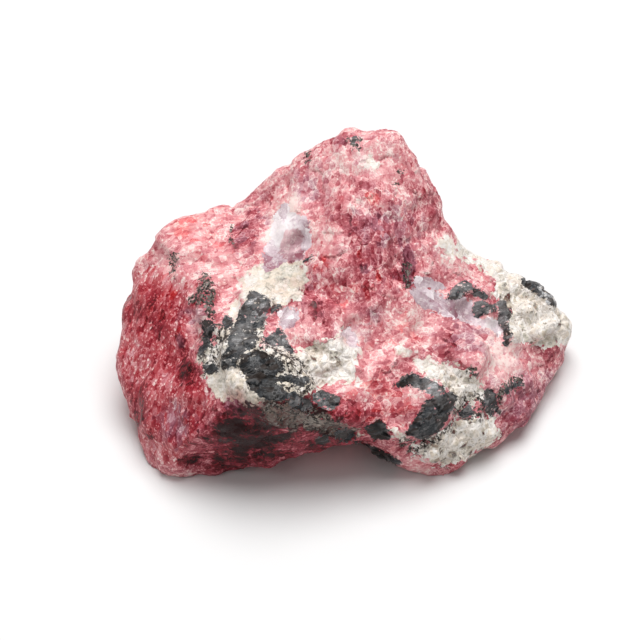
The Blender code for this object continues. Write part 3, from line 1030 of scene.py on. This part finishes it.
# From here on, a range has two numbers that a value comes from and two that it goes to, or 0 and 1.
pinkSettings = {
    "glassy": (-0.8, 0.8),
    "fineThreads": 0.7,
    "threadsByDust": (0.38, 0.5, 0.15, 1.0),
    "threadsByPatch": (0.42, 0.6, 0.25, 1.0),
    "glassyThreads": 0.5,
    "filaments": (0.004, 0.022, 0.8, 0.0),
    "powder": (0.58, 0.64, 0.0, 0.45),
    "wornEdges": (-0.04, -0.16, 0.0, 0.45),
    # The glints are painted highlights: white specks put into the colour.
    "glints": {"flake": 1.0, "glassy": 0.05, "dust": 0.3},
    "glintRange": (0.41, 0.44, 0.0, 0.8),
    "paleByMauve": (0.4, 1.0, 1.0, 0.4),
    "varied": {"big": 0.2, "middle": 0.34, "small": 0.18, "flake": 0.12, "middleFlat": 0.5,
               "cloud": 0.2, "patch": 0.35, "pale": 0.48},
    "contrastByTone": (-0.4, 0.7, 1.0, 0.66),
    "level": 0.58,
    "levelByTone": {"tone": 0.42},
    "shadeInHollows": (0.06, 0.25, 0.0, 0.2),
    "roseStops": ((-0.45, "umber"), (-0.12, "wine"), (0.12, "deepRed"), (0.36, "rose"),
                  (0.55, "pink"), (0.78, "pale"), (1.0, "powder")),
    "redStops": ((-0.45, "umber"), (-0.12, "wine"), (0.12, "crimson"), (0.38, "crimsonPale"),
                 (0.62, "pink"), (0.82, "pale"), (1.0, "powder")),
    "violetStops": ((-0.45, "umber"), (-0.02, "mauveDeep"), (0.4, "mauve"), (0.78, "mauvePale"),
                    (1.0, "powder")),
    "redShare": 0.85,
    "hue": {"mauve": 1.0, "middleOther": 0.7, "patch": 0.8},
    "violet": (0.0, 0.9),
    "warm": (-0.15, -0.9, 0.0, 0.8),
    "roughness": (0.0, 1.0, 0.2, 0.55),
    "paleRoughness": 0.75,
}


def pinkLook(tree, rock):
    # The rhodonite itself: glassy grains in powdery rock, threaded with white.
    settings = pinkSettings
    rock = dict(rock)
    rock["glassy"] = mapRange(tree, rock["fibre"], *settings["glassy"])
    threads = highest(tree, rock["middleLine"], times(tree, rock["smallLine"], settings["fineThreads"]))
    threads = times(tree, threads, mapRange(tree, rock["dust"], *settings["threadsByDust"]))
    threads = highest(tree, threads, mapRange(tree, rock["filament"], *settings["filaments"]))
    threads = times(tree, threads, mapRange(tree, rock["patch"], *settings["threadsByPatch"]),
                    mixValue(tree, rock["glassy"], 1.0, settings["glassyThreads"]))
    powder = mapRange(tree, rock["dust"], *settings["powder"])
    worn = mapRange(tree, rock["hollow"], *settings["wornEdges"])
    # glint paints highlights as white specks; the pale share carries them along with the real white
    # threads, powder and worn edges.
    glint = mapRange(tree, mixture(tree, rock, settings["glints"]), *settings["glintRange"])
    rock["pale"] = times(tree, highest(tree, threads, powder, worn, glint),
                         mapRange(tree, rock["mauve"], *settings["paleByMauve"]))

    contrast = mapRange(tree, rock["tone"], *settings["contrastByTone"])
    level = times(tree, mixture(tree, rock, settings["varied"]), contrast)
    level = maths(tree, "ADD", level, mixture(tree, rock, settings["levelByTone"], settings["level"]))
    shade = mapRange(tree, rock["hollow"], *settings["shadeInHollows"])
    level = maths(tree, "SUBTRACT", level, shade)
    stops = ("roseStops", "redStops", "violetStops")
    rose, red, violet = (ramp(tree, level, settings[name]) for name in stops)
    rose = mixColour(tree, times(tree, rock["glassy"], settings["redShare"]), rose, red)
    hue = mixture(tree, rock, settings["hue"])
    colour = mixColour(tree, mapRange(tree, hue, *settings["violet"]), rose, violet)
    warmed = mixColour(tree, 1.0, colour, "orangeRed", "SOFT_LIGHT")
    colour = mixColour(tree, mapRange(tree, hue, *settings["warm"]), colour, warmed)
    rough = mapRange(tree, rock["middleOther"], *settings["roughness"], "LINEAR")
    return colour, mixValue(tree, rock["pale"], rough, settings["paleRoughness"])


quartzSettings = {
    "coarseness": (0.0, 0.8, 0.25, 1.0),
    "cells": {"big": 0.3, "middle": 0.42, "small": 0.25, "bigFlat": 0.3, "middleFlat": 0.5, "rim": 0.45},
    "cellWeight": 1.6,
    "sugar": {"flake": 0.4, "dust": 0.8},
    "sugarInCoarse": 0.45,
    "level": 0.76,
    "varied": {"cloud": 0.2, "tone": 0.3},
    "stops": ((-0.1, "quartzBrown"), (0.12, "quartzGrey"), (0.38, "quartzGreen"), (0.64, "quartz"),
              (0.92, "quartzWhite")),
    "cream": {"cloud": 1.0, "middleOther": 1.0},
    "creamRange": (-0.1, 0.4, 0.0, 0.4),
    "pink": {"mauve": 1.0, "patch": 1.0},
    "pinkRange": (0.15, 0.9),
    # Browner where the tone is deepest, which is chiefly the undercut: deeper rock with painted shade.
    "brownByTone": (-1.0, -1.8, 0.0, 0.6),
    "darkerInHollows": (0.06, 0.25, 0.0, 0.35),
    "lines": (0.86, 0.97, 0.0, 0.45),
    "linesByDust": (0.46, 0.58, 0.1, 1.0),
    "pits": (0.975, 0.985, 0.0, 0.8),
    "pitsByCloud": (0.45, 0.55),
    "roughness": (0.0, 1.0, 0.15, 0.5),
}


def quartzLook(tree, rock):
    # White quartz, in places fine sugar and in places coarse clear grains.
    settings = quartzSettings
    coarse = mapRange(tree, rock["coarse"], *settings["coarseness"])
    cells = times(tree, mixture(tree, rock, settings["cells"]), coarse, settings["cellWeight"])
    sugar = mixValue(tree, coarse, 1.0, settings["sugarInCoarse"])
    sugar = times(tree, mixture(tree, rock, settings["sugar"]), sugar)
    level = maths(tree, "ADD", mixture(tree, rock, settings["varied"], settings["level"]), sugar)
    level = maths(tree, "ADD", level, cells)
    colour = ramp(tree, level, settings["stops"])
    cream = mapRange(tree, mixture(tree, rock, settings["cream"]), *settings["creamRange"])
    colour = mixColour(tree, cream, colour, "quartzCream")
    pink = mapRange(tree, mixture(tree, rock, settings["pink"]), *settings["pinkRange"])
    colour = mixColour(tree, pink, colour, mixColour(tree, 1.0, colour, "pinkTint", "MULTIPLY"))
    # Browner where the tone is deepest, which is chiefly the undercut: deeper rock with painted shade.
    brown = mapRange(tree, rock["tone"], *settings["brownByTone"])
    colour = mixColour(tree, brown, colour, "quartzBrown")
    line = times(tree, mapRange(tree, rock["rim"], *settings["lines"]),
                 mapRange(tree, rock["dust"], *settings["linesByDust"]))
    pits = times(tree, mapRange(tree, rock["flakeOther"], *settings["pits"]),
                 mapRange(tree, rock["cloud"], *settings["pitsByCloud"]))
    # Grey-brown along the grain borders, in pits, and darker and browner in the hollows.
    greyBrown = highest(tree, mapRange(tree, rock["hollow"], *settings["darkerInHollows"]), line, pits)
    colour = mixColour(tree, times(tree, greyBrown, coarse), colour, "greyBrown")
    return colour, mapRange(tree, rock["smallOther"], *settings["roughness"], "LINEAR")


glassSettings = {
    "level": 0.54,
    "varied": {"patch": 0.25, "big": 0.3, "middle": 0.2, "bigFlat": 0.3, "middleFlat": 0.2, "dust": 0.25,
               "tone": 0.4},
    "stops": ((0.1, "lilacDeep"), (0.45, "lilac"), (0.75, "lilacPale"), (0.95, "lilacWhite")),
    "pinkByMauve": (0.3, 1.0, 0.0, 0.9),
    "cracks": (0.004, 0.02, 0.5, 0.0),
    "roughness": (0.4, 0.6, 0.12, 0.35),
}


def glassLook(tree, rock):
    # Clear lilac grains with white cracks.
    settings = glassSettings
    colour = ramp(tree, mixture(tree, rock, settings["varied"], settings["level"]), settings["stops"])
    pink = mapRange(tree, rock["mauve"], *settings["pinkByMauve"])
    colour = mixColour(tree, pink, colour, mixColour(tree, 1.0, colour, "pinkTint", "MULTIPLY"))
    crack = mapRange(tree, rock["filament"], *settings["cracks"])
    colour = mixColour(tree, crack, colour, "quartzWhite")
    return colour, mapRange(tree, rock["dust"], *settings["roughness"])


oreSettings = {
    "level": 0.46,
    "varied": {"big": 0.25, "middle": 0.4, "small": 0.25, "flake": 0.15, "dust": 0.5, "patch": 0.5,
               "oreGrey": 0.5},
    "stops": ((0.0, "oreDark"), (0.42, "ore"), (0.78, "oreGrey"), (1.05, "glint")),
    "wornEdges": (-0.05, -0.2, 0.0, 0.5),
    # Light streaks along the grains: partly pale streaks in the ore, partly painted glints.
    "streaksAndGlints": 0.6,
    "streaksAndGlintsByPatch": (0.47, 0.59),
    "brown": (0.5, 0.9, 0.0, 0.6),
    "crumbStops": ((0.0, "oreDark"), (0.35, "oreBrown"), (0.75, "speck"), (1.0, "quartzGrey")),
    "crumbs": (0.0, -0.3, 0.0, 0.9),
    "roughness": (0.0, 1.0, 0.28, 0.6),
}


def oreLook(tree, rock):
    # Black ore in blocks, grey where it is worn.
    settings = oreSettings
    colour = ramp(tree, mixture(tree, rock, settings["varied"], settings["level"]), settings["stops"])
    edge = mapRange(tree, rock["hollow"], *settings["wornEdges"])
    # Worn edges and the light streaks go towards oreGrey; the streaks are partly painted glints.
    streakAndGlint = times(tree, rock["smallLine"], settings["streaksAndGlints"],
                    mapRange(tree, rock["patch"], *settings["streaksAndGlintsByPatch"]))
    colour = mixColour(tree, highest(tree, edge, streakAndGlint), colour, "oreGrey")
    brown = mapRange(tree, rock["middleOther"], *settings["brown"])
    colour = mixColour(tree, brown, colour, "oreBrown")
    crumbs = ramp(tree, rock["flakeOther"], settings["crumbStops"])
    colour = mixColour(tree, mapRange(tree, rock["ore"], *settings["crumbs"]), colour, crumbs)
    return colour, mapRange(tree, rock["middleOther"], *settings["roughness"], "LINEAR")


rockSettings = {
    "wander": 0.4,                  # mm that the grain borders bend
    "wanderWaves": (0.8, 2.0),      # scale, detail
    # how the grains lie in each part: turn in degrees, stretch
    "lying": ((0, -14, 12), (1.5, 1, 1)),
    "standing": ((-35, 0, 0), (1, 1, 1.4)),
    "fibrous": ((-27, 14, 0), (0.9, 0.9, 2.0)),
    "bladed": ((20, 55, 20), (0.8, 0.8, 3.2)),
    # each mask's border, in mm: how ragged, how much it follows whole grains, how soft
    "uprightMask": (5.0, 0.0, 0.5),
    "fibreMask": (1.5, 0.0, 0.5),
    "quartzMask": (1.6, 1.4),
    "quartzSoftness": (0.0, 0.5, 0.45, 0.08),
    "glassMask": (0.8, 0.6, 0.08),
    "seamMask": (1.5, 0.8, 0.4),
    # noises: scale, detail, roughness
    "edge": (1.3, 3.0, 0.65),
    "laidNoises": {"strand": (0.55, 3.0, 0.6), "patch": (0.42, 3.0, 0.55)},
    "straightNoises": {"cloud": (0.13, 4.0, 0.62), "dust": (1.6, 3.0, 0.7)},
    # grains in a mm
    "lump": 0.95,
    "laidGrains": {"big": 0.38, "middle": 0.95, "small": 2.1},
    "flakes": {"flake": 2.9},
    # lines between the grains: grains in a mm, width in mm
    "lines": {"middleLine": (0.95, 0.15), "smallLine": (2.1, 0.08), "rim": (0.6, 0.55)},
    "oreBlocks": {"ore": 1.0, "edge": 1.0, "flake": 0.35, "lump": 0.25},
    "oreBlockRange": (-0.04, 0.04),
    "cover": {"speck": 1.0, "edge": 2.5, "lump": 0.6},
    "coverRange": (-0.7, 0.8, -0.7, 0.3),
    "specks": {"flake": 0.8, "dust": 1.2, "cover": 1.0},
    "speckRange": (-0.05, 0.1),
    "seams": {"rim": 0.6, "middleOther": 0.6, "flake": 0.6, "dust": 2.0},
    "seamRange": (0.11, 0.29),
    "crumbs": {"small": 1.0, "edge": 0.8, "dust": 0.5, "oreGrey": 0.12},
    "crumbRange": (0.48, 0.54, 0.0, 0.8),
    # relief too fine for the mesh, in mm: quartz is rougher than the pink rock
    "softRelief": {"bigFlat": 0.08, "middleFlat": 0.16, "smallFlat": 0.22, "flakeFlat": 0.25},
    "hardRelief": {"bigFlat": 0.1, "middleFlat": 0.26, "smallFlat": 0.3, "flakeFlat": 0.36,
                   "grooves": -0.3},
    "hardRange": (-0.3, 0.3),
    "grooveRange": (0.0, 0.5),
    "bumpStrength": 0.7,
    "reflection": 0.22,
    "refraction": 1.55,
}


def rockMask(tree, rock, name, ragged, lumpy, soft):
    # Its border is ragged and partly follows whole grains.
    distance = mixture(tree, rock, {name: 1.0, "edge": ragged, "lump": lumpy})
    return mapRange(tree, maths(tree, "DIVIDE", distance, soft), -1.0, 1.0)


def addGrains(tree, rock, place, scales):
    for name, scale in scales.items():
        cells = useGroup(tree, grainGroup, Place=place, Scale=scale)
        rock[name] = cells["Number"]
        rock[name + "Other"] = cells["Second Number"]
        rock[name + "Flat"] = cells["Flat"]


def addPatterns(tree, rock):
    # The rock's patterns by name, and the masks of quartz and glass.
    settings = rockSettings
    where = node(tree, "ShaderNodeTexCoord")
    straight = vectorMaths(tree, "SCALE", where.outputs["Object"], scale=1 / mm)
    waves = noiseNode(tree, straight, *settings["wanderWaves"])
    bend = vectorMaths(tree, "SUBTRACT", waves.outputs["Color"], halfVector)
    bend = vectorMaths(tree, "SCALE", bend, scale=settings["wander"])
    bent = vectorMaths(tree, "ADD", straight, bend)
    rock["edge"] = noiseNode(tree, straight, *settings["edge"]).outputs["Fac"]
    rock["lump"] = useGroup(tree, grainGroup, Place=bent, Scale=settings["lump"])["Number"]

    # Which way the grains lie.
    upright = rockMask(tree, rock, "upright", *settings["uprightMask"])
    fibre = rockMask(tree, rock, "fibre", *settings["fibreMask"])
    quartzSoft = mapRange(tree, rock["coarse"], *settings["quartzSoftness"])
    quartz = rockMask(tree, rock, "quartz", *settings["quartzMask"], quartzSoft)
    glass = rockMask(tree, rock, "glass", *settings["glassMask"])
    lying, standing, fibrous, bladed = (
        turnedPlace(tree, bent, *settings[name]) for name in ("lying", "standing", "fibrous", "bladed")
    )
    laid = mixVector(tree, upright, lying, standing)
    laid = mixVector(tree, fibre, laid, fibrous)
    laid = mixVector(tree, highest(tree, quartz, glass), laid, bent)
    laid = mixVector(tree, maths(tree, "GREATER_THAN", rock["ore"], 0.0), laid, bladed)

    addGrains(tree, rock, laid, settings["laidGrains"])
    addGrains(tree, rock, straight, settings["flakes"])
    for name, (scale, width) in settings["lines"].items():
        rock[name] = useGroup(tree, borderGroup, Place=laid, Scale=scale, Width=width)["Line"]
    for place, noises in ((laid, settings["laidNoises"]), (straight, settings["straightNoises"])):
        for name, values in noises.items():
            rock[name] = noiseNode(tree, place, *values).outputs["Fac"]
    rock["filament"] = maths(tree, "ABSOLUTE", fromMiddle(tree, rock, "strand"))
    return quartz, glass


def oreMask(tree, rock):
    # Ragged blocks, specks and seams of ore, with pale crumbs on them.
    settings = rockSettings
    blocks = mapRange(tree, mixture(tree, rock, settings["oreBlocks"]), *settings["oreBlockRange"])
    rock["cover"] = mapRange(tree, mixture(tree, rock, settings["cover"]), *settings["coverRange"])
    specks = mapRange(tree, mixture(tree, rock, settings["specks"]), *settings["speckRange"])
    seams = times(tree, mapRange(tree, mixture(tree, rock, settings["seams"]), *settings["seamRange"]),
                  rockMask(tree, rock, "seam", *settings["seamMask"]))
    crumbs = mapRange(tree, mixture(tree, rock, settings["crumbs"]), *settings["crumbRange"])
    return times(tree, highest(tree, blocks, specks, seams), maths(tree, "SUBTRACT", 1.0, crumbs))


def makeRockMaterial(surfaceNames):
    settings = rockSettings
    material = bpy.data.materials.new("rhodoniteRock")
    material.use_nodes = True
    tree = material.node_tree
    shader = tree.nodes["Principled BSDF"]
    rock = {name: attributeValue(tree, name) for name in surfaceNames}
    quartz, glass = addPatterns(tree, rock)
    ore = oreMask(tree, rock)

    colour, rough = pinkLook(tree, rock)
    for share, look in ((quartz, quartzLook), (glass, glassLook), (ore, oreLook)):
        lookColour, lookRough = look(tree, rock)
        colour = mixColour(tree, share, colour, lookColour)
        rough = mixValue(tree, share, rough, lookRough)
    plug(tree, colour, shader.inputs["Base Color"])
    plug(tree, rough, shader.inputs["Roughness"])

    rock["grooves"] = times(tree, rock["rim"], mapRange(tree, rock["coarse"], *settings["grooveRange"]))
    hard = mapRange(tree, rock["quartz"], *settings["hardRange"])
    height = mixValue(tree, hard, mixture(tree, rock, settings["softRelief"]),
                      mixture(tree, rock, settings["hardRelief"]))
    bump = node(tree, "ShaderNodeBump")
    bump.inputs["Strength"].default_value = settings["bumpStrength"]
    bump.inputs["Distance"].default_value = 1.0
    plug(tree, times(tree, height, mm), bump.inputs["Height"])
    plug(tree, bump.outputs["Normal"], shader.inputs["Normal"])

    shader.inputs["Specular IOR Level"].default_value = settings["reflection"]
    shader.inputs["IOR"].default_value = settings["refraction"]
    return material


stone, surfaceNames = makeStone()
stone.data.materials.clear()
stone.data.materials.append(makeRockMaterial(surfaceNames))
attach(stone, "root")
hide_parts("rhodonite")
print("stone finished")


studioSettings = {
    "floorSize": 2.4,
    "floorColour": (0.8, 0.8, 0.8, 1.0),
    "floorRoughness": 0.9,
    "worldColour": (1.0, 0.99, 0.98, 1.0),
    "worldStrength": 0.26,
    # place in mm, size in mm, power in watts
    "keyLight": ((60, 180, 1000), 800, 12.0),
    "fillLight": ((-500, -300, 700), 400, 0.5),
    "cameraNear": 0.01,
    "cameraFar": 10,
}


def makeFloor():
    bpy.ops.mesh.primitive_plane_add(size=studioSettings["floorSize"], location=(0, 0, 0))
    floor = bpy.context.object
    floor.name = "floor"
    material = bpy.data.materials.new("paleFloor")
    material.use_nodes = True
    shader = material.node_tree.nodes["Principled BSDF"]
    shader.inputs["Base Color"].default_value = studioSettings["floorColour"]
    shader.inputs["Roughness"].default_value = studioSettings["floorRoughness"]
    floor.data.materials.append(material)


def makeLight(name):
    place, size, power = studioSettings[name]
    bpy.ops.object.light_add(type="AREA", location=Vector(place) * mm)
    lamp = bpy.context.object
    lamp.name = name
    lamp.data.shape = "DISK"
    lamp.data.size = size * mm
    lamp.data.energy = power
    toStone = Vector(viewSettings["aim"]) * mm - lamp.location
    lamp.rotation_euler = toStone.to_track_quat("-Z", "Y").to_euler()


def makeWorld():
    world = bpy.data.worlds.new("studio")
    world.use_nodes = True
    background = world.node_tree.nodes["Background"]
    background.inputs["Color"].default_value = studioSettings["worldColour"]
    background.inputs["Strength"].default_value = studioSettings["worldStrength"]
    bpy.context.scene.world = world


def makeCamera():
    eye, backward, _ = viewVectors()
    bpy.ops.object.camera_add(location=Vector(eye) * mm)
    camera = bpy.context.object
    camera.rotation_mode = "QUATERNION"
    camera.rotation_quaternion = Vector(-backward).to_track_quat("-Z", "Y")
    camera.data.lens = viewSettings["lens"]
    camera.data.sensor_width = viewSettings["sensor"]
    side = viewSettings["side"]
    x, y = viewSettings["aimPixel"]
    camera.data.shift_x = -(x - side / 2) / side
    camera.data.shift_y = -(side / 2 - y) / side
    camera.data.clip_start = studioSettings["cameraNear"]
    camera.data.clip_end = studioSettings["cameraFar"]
    bpy.context.scene.camera = camera


makeFloor()
makeLight("keyLight")
makeLight("fillLight")
makeWorld()
makeCamera()
bpy.context.scene.view_settings.view_transform = "Standard"
print("studio ready")
